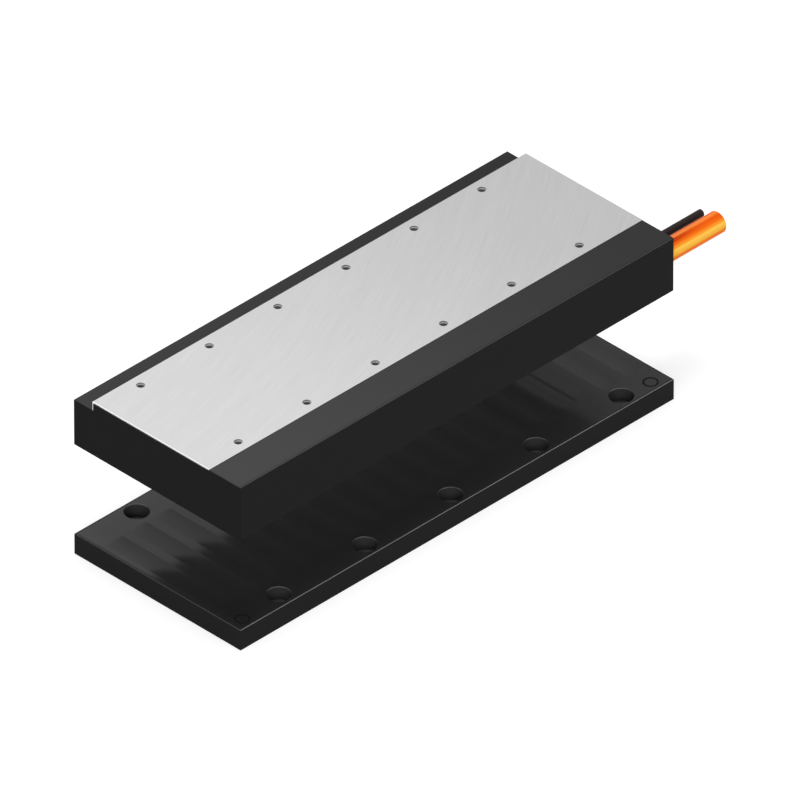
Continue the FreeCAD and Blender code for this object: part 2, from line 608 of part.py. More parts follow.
def make_bar_holders():
    """Insulating combs that the four bars stand in, between the teeth."""
    body = new_body("bar_holders", FORCER_LIFT)
    comb = new_sketch(body, "YZ", f"{CORE_LEFT} + 2 * {COIL_PITCH}")
    left = f"({bar_line(-2)} - bar_thickness / 2 - holder_rim)"
    right = f"({bar_line(1)} + bar_thickness / 2 + holder_rim)"
    bottom = f"({BAR_BOTTOM} - holder_rim)"
    top = f"({BAR_TOP} - holder_rim)"
    corners = [(left, bottom), (right, bottom), (right, top)]
    for place in (1, 0, -1, -2):
        near = f"({bar_line(place)} - bar_thickness / 2)"
        far = f"({bar_line(place)} + bar_thickness / 2)"
        corners += [(far, top), (far, BAR_BOTTOM), (near, BAR_BOTTOM), (near, top)]
    corners.append((left, top))
    polygon(comb, corners)
    row(body, [pad(body, comb, "holder_length", both_ways=True)], f"3 * {COIL_PITCH}", "coil_count / 3")


# Cables and wires

def core_circle(sketch, core_place):
    """The section of one core, at its place in the power cable counted in core offsets."""
    across, up = core_place
    circle(sketch, bar_line(across), f"{CABLE_HEIGHT} + ({up}) * {CORE_OFFSET}", "core_diameter")


def make_cores(label, cores):
    """Insulated cores, each from the place where its conductor is welded on to the cable's cut end."""
    body = new_body(label, FORCER_LIFT)
    for core_place, start in cores:
        section = new_sketch(body, "YZ", start)
        core_circle(section, core_place)
        pad(body, section, f"{CABLE_CUT} - ({start})")


def make_power_cable_jacket():
    """Jacket of the power cable, extruded round its four cores."""
    body = new_body("power_cable_jacket", FORCER_LIFT)
    section = new_sketch(body, "YZ", JACKET_START)
    circle(section, CABLE_LINE, CABLE_HEIGHT, "cable_diameter")
    for core_place in (*PHASE_CORES, EARTH_CORE):
        core_circle(section, core_place)
    pad(body, section, f"{CABLE_CUT} - {JACKET_START}")


def wire_square(sketch, across, up):
    """The section of one sensor wire."""
    rectangle(sketch, f"{across} - sensor_wire_width / 2", f"{across} + sensor_wire_width / 2",
              f"{up} - sensor_wire_width / 2", f"{up} + sensor_wire_width / 2")


def make_sensor_cable():
    """Jacket of the sensor cable, extruded round its two wires."""
    body = new_body("sensor_cable_jacket", FORCER_LIFT)
    section = new_sketch(body, "YZ", JACKET_START)
    circle(section, SENSOR_CABLE_LINE, CABLE_HEIGHT, "sensor_cable_diameter")
    for side in ("-", "+"):
        wire_square(section, SENSOR_CABLE_LINE, f"{CABLE_HEIGHT} {side} sensor_wire_offset")
    pad(body, section, f"{SENSOR_CUT} - {JACKET_START}")


def make_sensors():
    """Temperature sensor beads, threaded on their wire, on the bobbins of the last three coils."""
    body = new_body("temperature_sensors", FORCER_LIFT)
    bead = new_sketch(body, "YZ", FIRST_SENSOR)
    rectangle(bead, f"{SENSOR_LINE} - sensor_size / 2", f"{SENSOR_LINE} + sensor_size / 2",
              f"{SENSOR_HEIGHT} - sensor_size / 2", f"{SENSOR_HEIGHT} + sensor_size / 2")
    wire_square(bead, SENSOR_LINE, SENSOR_HEIGHT)
    row(body, [pad(body, bead, "sensor_length", both_ways=True)], COIL_PITCH, "sensor_count")


def make_sensor_wire():
    """One wire out of the cable, through the three beads, round a turn and back over them."""
    body = new_body("sensor_wire", FORCER_LIFT)
    turn = f"({FIRST_SENSOR} - sensor_length)"
    raised = f"({SENSOR_HEIGHT} + sensor_return)"
    fan_start = f"({JACKET_START} - sensor_fan_gap)"
    fan_end = f"({fan_start} - sensor_fan)"
    for side, height in (("-", SENSOR_HEIGHT), ("+", raised)):
        in_cable = f"{CABLE_HEIGHT} {side} sensor_wire_offset"
        straight = new_sketch(body, "YZ", fan_start)
        wire_square(straight, SENSOR_CABLE_LINE, in_cable)
        pad(body, straight, f"{SENSOR_CUT} - {fan_start}")
        ends = [new_sketch(body, "YZ", fan_start), new_sketch(body, "YZ", fan_end)]
        wire_square(ends[0], SENSOR_CABLE_LINE, in_cable)
        wire_square(ends[1], SENSOR_LINE, height)
        DOC.recompute()
        fan = body.newObject("PartDesign::AdditiveLoft", "Fan")
        fan.Profile = ends[0]
        fan.Sections = [ends[1]]
        fan.Ruled = True
        DOC.recompute()
        along = new_sketch(body, "YZ", fan_end)
        wire_square(along, SENSOR_LINE, height)
        pad(body, along, f"{fan_end} - {turn}", other_way=True)
    link = new_sketch(body, "YZ", turn)
    rectangle(link, f"{SENSOR_LINE} - sensor_wire_width / 2", f"{SENSOR_LINE} + sensor_wire_width / 2",
              f"{SENSOR_HEIGHT} - sensor_wire_width / 2", f"{raised} + sensor_wire_width / 2")
    pad(body, link, "sensor_wire_width", other_way=True)


def make_earth_strip():
    """Strip that joins the earth core to the boss under the plate."""
    body = new_body("earth_strip", FORCER_LIFT)
    strip = new_sketch(body, "XY", EARTH_STRIP_BOTTOM)
    rectangle(strip, f"{EARTH_X} - earth_strip_width / 2", f"{EARTH_X} + earth_strip_width / 2",
              f"{bar_line(1)} - core_diameter / 2", f"{EARTH_Y} + earth_boss_width / 2")
    pad(body, strip, "earth_strip_thickness")


# Cast body

def make_potting_block():
    """The outside of the cast body: chamfered edges, a ledge on its far side and the plate's recess."""
    body = new_body("potting_block", FORCER_LIFT)
    del PARTS["potting_block"]
    outline = new_sketch(body, "XY")
    rectangle(outline, FORCER_START, FORCER_END, FORCER_NEAR, FORCER_FAR)
    pad(body, outline, FORCER_TOP)
    ledge = new_sketch(body, "XY", FORCER_TOP)
    rectangle(ledge, FORCER_START, FORCER_END, f"{PLATE_FAR} - skin_setback", FORCER_FAR)
    stepped = pocket(body, ledge, "ledge_drop")
    ends = [number(FORCER_START), number(FORCER_END)]
    sides = [number(FORCER_NEAR), number(FORCER_FAR)]
    levels = [0, number(f"{FORCER_TOP} - ledge_drop"), number(FORCER_TOP)]

    def outer(box):
        spans = [(box.XMin, box.XMax, ends), (box.YMin, box.YMax, sides), (box.ZMin, box.ZMax, levels)]
        return sum(any(same(low, plane) and same(high, plane) for plane in planes)
                   for low, high, planes in spans) > 1

    edge_feature(body, "Chamfer", "Size", stepped, edges_where(stepped.Shape, outer), "forcer_edge")
    bare = new_sketch(body, "XY", FORCER_TOP)
    rectangle(bare, FORCER_START, FORCER_END, PLATE_NEAR, PLATE_FAR)
    pocket(body, bare, "end_skin_drop")
    recess = new_sketch(body, "XY", FORCER_TOP)
    rectangle(recess, f"{FORCER_START} + plate_end_skin", FORCER_END, PLATE_NEAR, PLATE_FAR)
    pocket(body, recess, "plate_thickness")
    return body


def make_winding_pack():
    """The space that the stack, the bobbins, the coils and their leads fill together: yoke, slots, coils,
    wedges, tips of the teeth and leads."""
    body = new_body("winding_pack", FORCER_LIFT)
    del PARTS["winding_pack"]
    layers = [(YOKE_BOTTOM, CORE_TOP, CORE_LEFT, CORE_RIGHT),
              (WEDGE_TOP, YOKE_BOTTOM, FIRST_TOOTH, LAST_TOOTH),
              (WEDGE_BOTTOM, WEDGE_TOP, f"{FIRST_TOOTH} - tooth_width / 2 + wedge_notch",
               f"{LAST_TOOTH} + tooth_width / 2 - wedge_notch")]
    for low, high, left, right in layers:
        layer = new_sketch(body, "XY", low)
        rectangle(layer, left, right, "-stack_width / 2", "stack_width / 2")
        pad(body, layer, f"{high} - {low}")
    pieces = [(tooth_outline, "bottom_skin", WEDGE_BOTTOM), (coil_outline, WEDGE_TOP, COIL_TOP),
              (upper_flange_outline, COIL_TOP, YOKE_BOTTOM), (lead_outlines, COIL_TOP, TAB_BOTTOM)]
    features = []
    for outline, low, high in pieces:
        piece = new_sketch(body, "XY", low)
        outline(piece, FIRST_TOOTH)
        features.append(pad(body, piece, f"{high} - {low}"))
    row(body, features, COIL_PITCH, "coil_count")
    return body


def make_potting(block, pack):
    """Resin cast round everything that the forcer holds, with the winding pack as one of those pieces."""
    packed = {"lamination_stack", "stack_tie_bars", "coil_bobbins", "slot_separators", "slot_wedges",
              "coils_phase_u", "coils_phase_v", "coils_phase_w"}
    track = {"back_iron", "magnet_frame", "magnets_north", "magnets_south"}
    inside = DOC.addObject("Part::MultiFuse", "cast_in_pieces")
    inside.Shapes = [pack] + [piece for label, piece in PARTS.items() if label not in packed | track]
    inside.Refine = True
    potting = DOC.addObject("Part::Cut", "potting_body")
    potting.Label = "potting_body"
    potting.Base = block
    potting.Tool = inside
    PARTS["potting_body"] = potting
    DOC.recompute()


def export_parts():
    """Check every object, then write each piece to its own file."""
    DOC.recompute()
    for item in DOC.Objects:
        if "Invalid" in item.State or "Error" in item.State:
            raise RuntimeError(item.Label + " did not build")
    for label, piece in PARTS.items():
        if piece.Shape.isNull() or not piece.Shape.isValid():
            raise RuntimeError(label + " has no valid shape")
    os.makedirs("parts", exist_ok=True)
    for label, piece in PARTS.items():
        piece.Shape.exportStep("parts/%s.step" % label)
        print("%-24s %3d solids %12.1f mm3" % (label, len(piece.Shape.Solids), piece.Shape.Volume))


fill_sheet()
make_back_iron()
make_magnet_frame()
make_magnets("magnets_north", 0)
make_magnets("magnets_south", 1)
make_mounting_plate()
make_stack()
make_tie_bars()
make_bobbins()
for phase, letter in enumerate("uvw"):
    make_coils("coils_phase_" + letter, phase)
make_separators()
make_wedges()
# Places of the bars and of the cores, counted in core offsets from the power cable's axis
PHASE_BARS = (-1, 0, 1)
PHASE_CORES = ((-1, 0), (0, -1), (0, 1))
EARTH_CORE = (1, 0)
# The third bar is longer, so that its block passes the end of the second bar
PHASE_ENDS = (PHASE_BAR_END, PHASE_BAR_END, f"({PHASE_BAR_END} + block_gap)")
for phase, letter in enumerate("uvw"):
    bus_bar = make_bus_bar("bus_bar_" + letter, PHASE_BARS[phase],
                           f"{FIRST_TOOTH} + {phase} * {COIL_PITCH} - lead_spacing / 2",
                           f"3 * {COIL_PITCH}", "coil_count / 3", PHASE_ENDS[phase])
    add_weld_block(bus_bar, PHASE_BARS[phase], PHASE_CORES[phase], PHASE_ENDS[phase])
make_bus_bar("star_bar", -2, f"{FIRST_TOOTH} + lead_spacing / 2", COIL_PITCH, "coil_count",
             f"{LAST_TOOTH} + lead_spacing / 2 + bar_overhang")
make_bar_holders()
PHASE_STARTS = [f"{end} + block_length" for end in PHASE_ENDS]
make_cores("power_cable_cores", zip(PHASE_CORES, PHASE_STARTS))
make_cores("earth_core", [(EARTH_CORE, f"{EARTH_X} + earth_strip_width / 2")])
make_power_cable_jacket()
make_sensor_cable()
make_sensors()
make_sensor_wire()
make_earth_strip()
make_potting(make_potting_block(), make_winding_pack())
export_parts()
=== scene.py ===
import math

import bpy
import numpy as np
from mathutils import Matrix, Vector


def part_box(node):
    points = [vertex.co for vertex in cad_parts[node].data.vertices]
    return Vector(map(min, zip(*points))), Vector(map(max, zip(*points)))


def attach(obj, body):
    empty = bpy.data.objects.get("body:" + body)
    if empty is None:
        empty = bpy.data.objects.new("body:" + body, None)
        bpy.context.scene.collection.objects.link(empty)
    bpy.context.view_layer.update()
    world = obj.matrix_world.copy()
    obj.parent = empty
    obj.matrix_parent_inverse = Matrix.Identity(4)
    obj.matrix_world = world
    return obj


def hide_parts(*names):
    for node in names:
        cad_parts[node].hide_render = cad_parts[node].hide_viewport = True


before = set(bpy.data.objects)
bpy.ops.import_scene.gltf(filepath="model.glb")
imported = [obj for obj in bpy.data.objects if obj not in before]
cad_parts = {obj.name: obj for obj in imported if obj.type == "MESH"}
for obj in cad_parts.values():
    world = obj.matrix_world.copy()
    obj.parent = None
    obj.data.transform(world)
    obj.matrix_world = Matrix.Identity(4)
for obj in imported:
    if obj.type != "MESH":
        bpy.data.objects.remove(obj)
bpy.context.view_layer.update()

# The scene is in metres. Patterns and pieces are thought out in millimetres
MM = 0.001
PER_MM = 1 / MM

# The frame's own places
TRACK_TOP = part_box("back_iron")[1].z * PER_MM
FORCER_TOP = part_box("mounting_plate")[1].z * PER_MM
FORCER_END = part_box("potting_body")[1].x * PER_MM
CABLE_LOW, CABLE_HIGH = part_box("power_cable_jacket")
CABLE_LINE, CABLE_HEIGHT = ((CABLE_LOW + CABLE_HIGH) / 2 * PER_MM).yz
CUT = CABLE_HIGH.x * PER_MM

# The track: half its length and width, its counterbored holes, the magnets, half the width of the frame
# that holds them, and the film over all of it
TRACK_END = 125.0
TRACK_SIDE = 48.0
TRACK_HOLE_COLUMNS = 5
TRACK_HOLE_CENTRE = 2.6
TRACK_HOLE_PITCH = 49.4
TRACK_HOLE_ROW = 41.0
HEAD_RADIUS = 5.5
HEAD_DEPTH = 6.5
MAGNET_PITCH = 13.79
MAGNET_COUNT = 18
MAGNET_WIDTH = 9.4
MAGNET_LENGTH = 65.5
FRAME_SIDE = 34.0
FILM_END = 124.2
FILM_SIDE = 35.2
POLE_MARKS = ((-118.8, -42.8), (116.7, -42.8))

# The forcer: its plate, the plate's tapped holes, the cast body and what the cables hold
PLATE_MIDDLE = 3.65
PLATE_NEAR = -30.0
PLATE_LEFT = -124.7
TAP_COLUMNS = 6
TAP_CENTRE = -4.6
TAP_PITCH = 39.24
TAP_ROW = 28.1
TAP_BORE = 1.65
TAP_DEPTH = 6.0
BODY_NEAR = -48.0
CORE_BORE = 1.22
CORE_OFFSET = 1.8
WIRE_BORE = 0.56
WIRE_OFFSET = 0.5

# Bands too fine to be modelled: a turn of the winding, a sheet of the stack, a stripe of the earth core
TURN_PITCH = 0.45
LAMINATION = 0.5
EARTH_STRIPE = 3.6

X, Y, Z = 0, 1, 2


def grey(level):
    """A neutral screen grey from 0 to 255, as the linear colour that a shader takes."""
    return tint(level, level, level)


def tint(red, green, blue):
    """A screen colour from 0 to 255 a channel, as the linear colour that a shader takes."""
    part = np.array([red, green, blue]) / 255
    linear = np.where(part <= 0.04045, part / 12.92, ((part + 0.055) / 1.055) ** 2.4)
    return (*(float(value) for value in linear), 1.0)


def set_stops(ramp, stops):
    """Give a colour ramp its stops, each a place from 0 to 1 with a colour."""
    while len(ramp.elements) < len(stops):
        ramp.elements.new(0.5)
    for element, (place, colour) in zip(ramp.elements, stops):
        element.position = place
        element.color = colour


class Reading:
    """A number that changes from place to place. Arithmetic on it adds Math nodes to its tree."""

    def __init__(self, nodes, socket):
        self.nodes = nodes
        self.socket = socket

    def math(self, operation, *values):
        """The Math node of that operation on the values, in their order."""
        return self.nodes.read("ShaderNodeMath", {"operation": operation}, dict(enumerate(values)))

    def __add__(self, other):
        return self.math("ADD", self, other)

    def __sub__(self, other):
        return self.math("SUBTRACT", self, other)

    def __rsub__(self, other):
        return self.math("SUBTRACT", other, self)

    def __mul__(self, other):
        return self.math("MULTIPLY", self, other)

    def __truediv__(self, other):
        return self.math("DIVIDE", self, other)

    def __abs__(self):
        return self.math("ABSOLUTE", self)

    __radd__ = __add__
    __rmul__ = __mul__

    def sine(self):
        return self.math("SINE", self)

    def or_more(self, other):
        """The larger of this and another."""
        return self.math("MAXIMUM", self, other)

    def rise(self, low, high):
        """0 up to low, 1 from high on, a smooth step between. It falls where high is the lower one."""
        limits = {"From Min": low, "From Max": high}
        if low > high:
            limits = {"From Min": high, "From Max": low, "To Min": 1.0, "To Max": 0.0}
        settings = {"interpolation_type": "SMOOTHSTEP"}
        return self.nodes.read("ShaderNodeMapRange", settings, {"Value": self, **limits}, "Result")

    def nearest(self, pitch, shift):
        """The distance, with its sign, from the nearest of a row of places a pitch apart."""
        steps = (self - shift) / pitch
        return (steps - self.math("ROUND", steps)) * pitch


class Nodes:
    """A node tree that is built up from nothing. It wraps the nodes' sockets."""

    def __init__(self, owner):
        owner.use_nodes = True
        self.tree = owner.node_tree
        self.tree.nodes.clear()

    def node(self, kind, settings=None, sockets=None):
        """Add a node: first its settings, then a value or a link for each socket that is named."""
        node = self.tree.nodes.new(kind)
        for name, value in (settings or {}).items():
            if name == "stops":
                set_stops(node.color_ramp, value)
            else:
                setattr(node, name, value)
        for name, value in (sockets or {}).items():
            link = getattr(value, "socket", value)
            if isinstance(link, bpy.types.NodeSocket):
                self.tree.links.new(link, node.inputs[name])
            else:
                node.inputs[name].default_value = value
        return node

    def read(self, kind, settings=None, sockets=None, output=0):
        """What one output of a new node gives."""
        return Reading(self, self.node(kind, settings, sockets).outputs[output])


class Finish(Nodes):
    """A procedural finish in the making. Its patterns are placed in millimetres on the frame."""

    def __init__(self, name):
        self.material = bpy.data.materials.new(name)
        super().__init__(self.material)
        spot = self.node("ShaderNodeTexCoord")
        scaled = {0: spot.outputs["Object"], "Scale": PER_MM}
        self.place = self.read("ShaderNodeVectorMath", {"operation": "SCALE"}, scaled, "Vector")
        self.x, self.y, self.z = self.parts(self.place)
        self.facing = [abs(side) for side in self.parts(spot.outputs["Normal"])]

    def parts(self, vector):
        """The three numbers of a vector."""
        split = self.node("ShaderNodeSeparateXYZ", None, {0: vector})
        return [Reading(self, output) for output in split.outputs]

    def join(self, x, y, z):
        """A vector of three numbers."""
        return self.read("ShaderNodeCombineXYZ", None, {0: x, 1: y, 2: z})

    def distance(self, x, y):
        """How far a place x and y away is."""
        away = self.join(x, y, 0.0)
        return self.read("ShaderNodeVectorMath", {"operation": "LENGTH"}, {0: away}, "Value")

    def from_hole(self, pitch, centre, middle, row):
        """Distance from the nearest hole's axis. The holes stand in two rows beside a middle line."""
        return self.distance(self.x.nearest(pitch, centre), abs(self.y - middle) - row)

    def square_to(self, axis):
        """1 on faces square to the axis and 0 on the others."""
        return self.facing[axis].rise(0.6, 0.98)

    def edges(self, spared):
        """1 on bevels and roundings and 0 on square faces. A share is spared where they turn to X."""
        x, y, z = self.facing
        flattest = x.or_more(y.or_more(z))
        return flattest.rise(0.97, 0.85) * (1 - x.rise(0.05, 0.4) * spared)

    def stretched(self, along_x, along_y, along_z):
        """The place with each direction drawn out by its own share."""
        return self.join(self.x / along_x, self.y / along_y, self.z / along_z)

    def drawn(self, share):
        """The place drawn out along X alone."""
        return self.stretched(share, 1.0, 1.0)

    def cloud(self, size, detail=2.0, at=None):
        """Soft random light and dark, 0 to 1, with forms about size millimetres across."""
        sockets = {"Vector": at or self.place, "Scale": 1 / size, "Detail": detail}
        return self.read("ShaderNodeTexNoise", None, sockets)

    def cells(self, size):
        """Distance from the middle of the nearest of many random cells, in cells."""
        sockets = {"Vector": self.place, "Scale": 1 / size}
        return self.read("ShaderNodeTexVoronoi", None, sockets)

    def mix(self, share, low, high, blend="MIX"):
        """The low colour where share is 0 and the high one where it is 1."""
        settings = {"data_type": "RGBA", "blend_type": blend}
        return self.read("ShaderNodeMix", settings, {0: share, 6: low, 7: high}, 2)

    def overlay(self, colour, layers):
        """The colour with each layer, a share and a tone, laid over it in turn."""
        for share, tone in layers:
            colour = self.mix(share, colour, tone)
        return colour

    def relief(self, height, depth):
        """The normal of a surface that stands depth millimetres higher where height is 1 than at 0."""
        return self.read("ShaderNodeBump", None, {"Height": height, "Distance": depth * MM})

    def done(self, **sockets):
        """Close the finish with one shader. A socket's name is written with _ for each space."""
        named = {name.replace("_", " "): value for name, value in sockets.items()}
        spelt = {"Specular Level": "Specular IOR Level"}
        named = {spelt.get(name, name): value for name, value in named.items()}
        shader = self.node("ShaderNodeBsdfPrincipled", None, named)
        self.node("ShaderNodeOutputMaterial", None, {"Surface": shader.outputs[0]})
        return self.material


# Finishes of what is in sight

def over_magnets(finish):
    """The film's gloss: duller than the iron's, dullest in one stretch, and fading over each magnet."""
    fade_level, fade_level_right = 0.96, 0.8
    fade_slope, fade_slope_right = 0.5, 0.6
    frame_dull, thin_dull = 0.12, 0.46
    blur = 0.1
    across = finish.x.nearest(MAGNET_PITCH, MAGNET_PITCH / 2)
    inside = abs(finish.y).rise(MAGNET_LENGTH / 2 + blur, MAGNET_LENGTH / 2 - blur)
    inside = inside * abs(across).rise(MAGNET_WIDTH / 2 + blur, MAGNET_WIDTH / 2 - blur)
    on_frame = abs(finish.y).rise(FRAME_SIDE + 0.5, FRAME_SIDE - 1.0)
    right = finish.x.rise(0.0, 100.0)
    slope = fade_slope + right * fade_slope_right
    fading = fade_level + right * fade_level_right - (across / MAGNET_WIDTH + 0.5) * slope
    thin = finish.x.rise(60.0, 78.0) * finish.x.rise(108.0, 84.0)
    return (1 - on_frame * frame_dull) * (1 - thin * thin_dull) * (1 - inside + inside * fading)


def coated_track():
    """Black baked enamel on iron with a grinding finish: a glossy top, satin sides, a painted highlight
    on the edges.

    The top is painted lighter than the sides, painted light from above, and the ends darker than the
    other sides, painted shade. A painted shadow of the forcer darkens the top along the near side and at
    the far left. The top is darker in one stretch right of the middle, and painted shade darkens it just
    inside its edges. The counterbores' walls are bare iron with a grinding finish, painted lighter
    towards their seats against the shade deep in them.
    """
    f = Finish("black_coated_iron")
    top = f.square_to(Z)
    grain = f.cloud(0.9, 4.0)
    drift = f.cloud(45.0, 2.0, f.drawn(2.5))
    along = f.x.rise(-TRACK_END, TRACK_END)
    # Painted shadow of the forcer: the top darker along the near side and at the far left
    near_side_shadow = f.y.rise(-30.0, -46.0)
    far_left_shadow = f.x.rise(-104.0, -122.0) * f.y.rise(12.0, -4.0)
    stretch = f.x.rise(48.0, 60.0) * f.x.rise(86.0, 76.0)
    radius = f.from_hole(TRACK_HOLE_PITCH, TRACK_HOLE_CENTRE, 0.0, TRACK_HOLE_ROW)
    seat = TRACK_TOP - HEAD_DEPTH
    bore = radius.rise(HEAD_RADIUS + 0.2, HEAD_RADIUS + 0.05)
    bore = bore * f.z.rise(seat - 0.7, seat - 0.4) * f.z.rise(TRACK_TOP - 0.05, TRACK_TOP - 0.2)
    # Painted light: the counterbore's wall lighter towards its seat, the seat lighter still, against the
    # shade deep in the bore
    bore_tone_painted_light = f.mix(f.z.rise(TRACK_TOP - 0.5, seat), grey(60), grey(98))
    bore_tone_painted_light = f.mix(top, bore_tone_painted_light, grey(118))
    # Painted highlight along the edges, kept off the counterbores' mouths
    edge_highlight = f.edges(0.7) * radius.rise(HEAD_RADIUS + 0.8, HEAD_RADIUS + 1.0)
    edge_highlight = edge_highlight * f.z.rise(TRACK_TOP - 1.0, TRACK_TOP - 0.5)
    # Painted shade just inside the top's edges, beside their highlight, with the gloss taken off there
    # as well
    rim = abs(f.x).rise(TRACK_END - 1.1, TRACK_END - 0.6)
    rim = rim.or_more(abs(f.y).rise(TRACK_SIDE - 1.1, TRACK_SIDE - 0.6)) * top
    # Painted shade: the ends are darker than the other sides
    side = f.mix(f.square_to(X) * 0.75, f.mix(grain, grey(8), grey(15)), grey(2))
    colour = f.overlay(side, (
        # Painted light: the top is far lighter than the sides, as if lit from above
        (top, f.mix(grain * 0.5 + drift * 0.5, grey(37), grey(48))),
        # Painted shadow along the near side and at the far left
        (top * near_side_shadow * 0.75, grey(27)),
        (top * far_left_shadow * 0.7, grey(22)),
        (top * stretch * 0.35, grey(22)),
        (bore, bore_tone_painted_light),
        (edge_highlight * 0.9, grey(128)),
        (rim * 0.4, grey(27)),
    ))
    gloss = top * (0.57 - along * 0.29 + drift * 0.08) * over_magnets(f) * (1 - rim * 0.85)
    height = f.cloud(0.9, 2.0, f.drawn(2.5)) + f.cloud(0.35, 3.0) * 0.4
    return f.done(
        Base_Color=colour, Roughness=0.55 + grain * 0.1, Specular_Level=0.1,
        Coat_Weight=gloss, Coat_Roughness=0.12,
        Normal=f.relief(height, 0.016),
    )


def magnet_cover():
    """Black glass-filled resin between the magnets: the same gloss on top as the iron round it."""
    f = Finish("frame_resin")
    fibres = f.cloud(0.5, 3.0, f.drawn(6.0))
    drift = f.cloud(45.0, 2.0, f.drawn(2.5))
    colour = f.mix(fibres * 0.5 + drift * 0.5, grey(41), grey(52))
    return f.done(
        Base_Color=colour, Roughness=0.55 + fibres * 0.12, Specular_Level=0.12,
        Coat_Weight=f.square_to(Z) * (0.76 + drift * 0.2), Coat_Roughness=0.17,
        Normal=f.relief(fibres, 0.01),
    )


def magnet_coat(name, cool):
    """Dark epoxy over a sintered magnet: fine grain, a trace of the pressing, a little blue if cool."""
    f = Finish(name)
    grain = f.cloud(0.4, 5.0)
    pressed = f.cloud(3.0, 2.0, f.stretched(1.0, 14.0, 1.0))
    colour = f.mix(grain * 0.4 + pressed * 0.6, tint(44, 45, 46 + cool), tint(60, 61, 63 + cool))
    return f.done(
        Base_Color=colour, Roughness=0.5 + grain * 0.15, Specular_Level=0.14,
        Coat_Weight=f.square_to(Z) * (0.82 + pressed * 0.16), Coat_Roughness=0.19,
        Normal=f.relief(grain + pressed, 0.008),
    )


def milled_plate():
    """Face-milled aluminium: arcs about one far centre, fine and coarse, that turn along the plate.

    Painted shade darkens the plate along X. Its left edge has a painted highlight, and painted shade
    darkens the holes' mouths and the holes.
    """
    f = Finish("milled_aluminium")
    centre_x, centre_y, reach = -204.0, 455.0, 500.0
    from_x, from_y = f.x - centre_x, f.y - centre_y
    sweep = f.distance(from_x, from_y)
    turn = from_x.math("ARCTAN2", from_y, from_x) * reach
    # Each kind of streak: its width, its detail, how far it is drawn out, and a layer of its own
    kinds = ((0.6, 3.0, 40.0, 0.0), (4.0, 2.0, 30.0, 3.0), (22.0, 1.0, 12.0, 7.0))
    fine, coarse, wide = (
        f.cloud(width, detail, f.join(sweep, turn / length, layer))
        for width, detail, length, layer in kinds
    )
    streak = fine * 0.68 + coarse * 0.22 + wide * 0.1
    along = f.x.rise(-135.0, 150.0)
    radius = f.from_hole(TAP_PITCH, TAP_CENTRE + TAP_PITCH / 2, PLATE_MIDDLE, TAP_ROW)
    # Painted highlight along the plate's left edge
    edge = f.x.rise(PLATE_LEFT + 0.6, PLATE_LEFT + 0.3) * f.z.rise(FORCER_TOP - 0.4, FORCER_TOP - 0.3)
    # Painted shade round the holes' mouths and down inside the holes
    mouth = radius.rise(TAP_BORE + 0.26, TAP_BORE + 0.18) * f.z.rise(FORCER_TOP - 0.1, FORCER_TOP - 0.05)
    painted_shade_mask = radius.rise(TAP_BORE + 0.1, TAP_BORE) * f.z.rise(FORCER_TOP - 0.2, FORCER_TOP - 1.2)
    # Painted shade: the metal's tones darken along X
    metal = f.mix(streak, f.mix(along, grey(207), grey(181)), f.mix(along, grey(231), grey(205)))
    colour = f.overlay(metal, ((edge, grey(246)), (mouth * 0.75, grey(70)), (painted_shade_mask * 0.9, grey(112))))
    return f.done(
        Base_Color=colour, Metallic=1.0, Roughness=0.36 + fine * 0.06,
        Normal=f.relief(fine + coarse * 0.4, 0.002),
    )


def cut_thread():
    """Freshly cut aluminium, with painted shade that darkens it down the hole."""
    f = Finish("cut_thread")
    grain = f.cloud(0.5, 3.0)
    # Painted shade down the hole
    painted_shade_mask = f.z.rise(FORCER_TOP - 0.5, FORCER_TOP - 1.3)
    colour = f.mix(painted_shade_mask, f.mix(grain, grey(188), grey(212)), grey(105))
    return f.done(
        Base_Color=colour, Metallic=0.9, Roughness=0.35 + grain * 0.1,
        Normal=f.relief(grain, 0.004),
    )


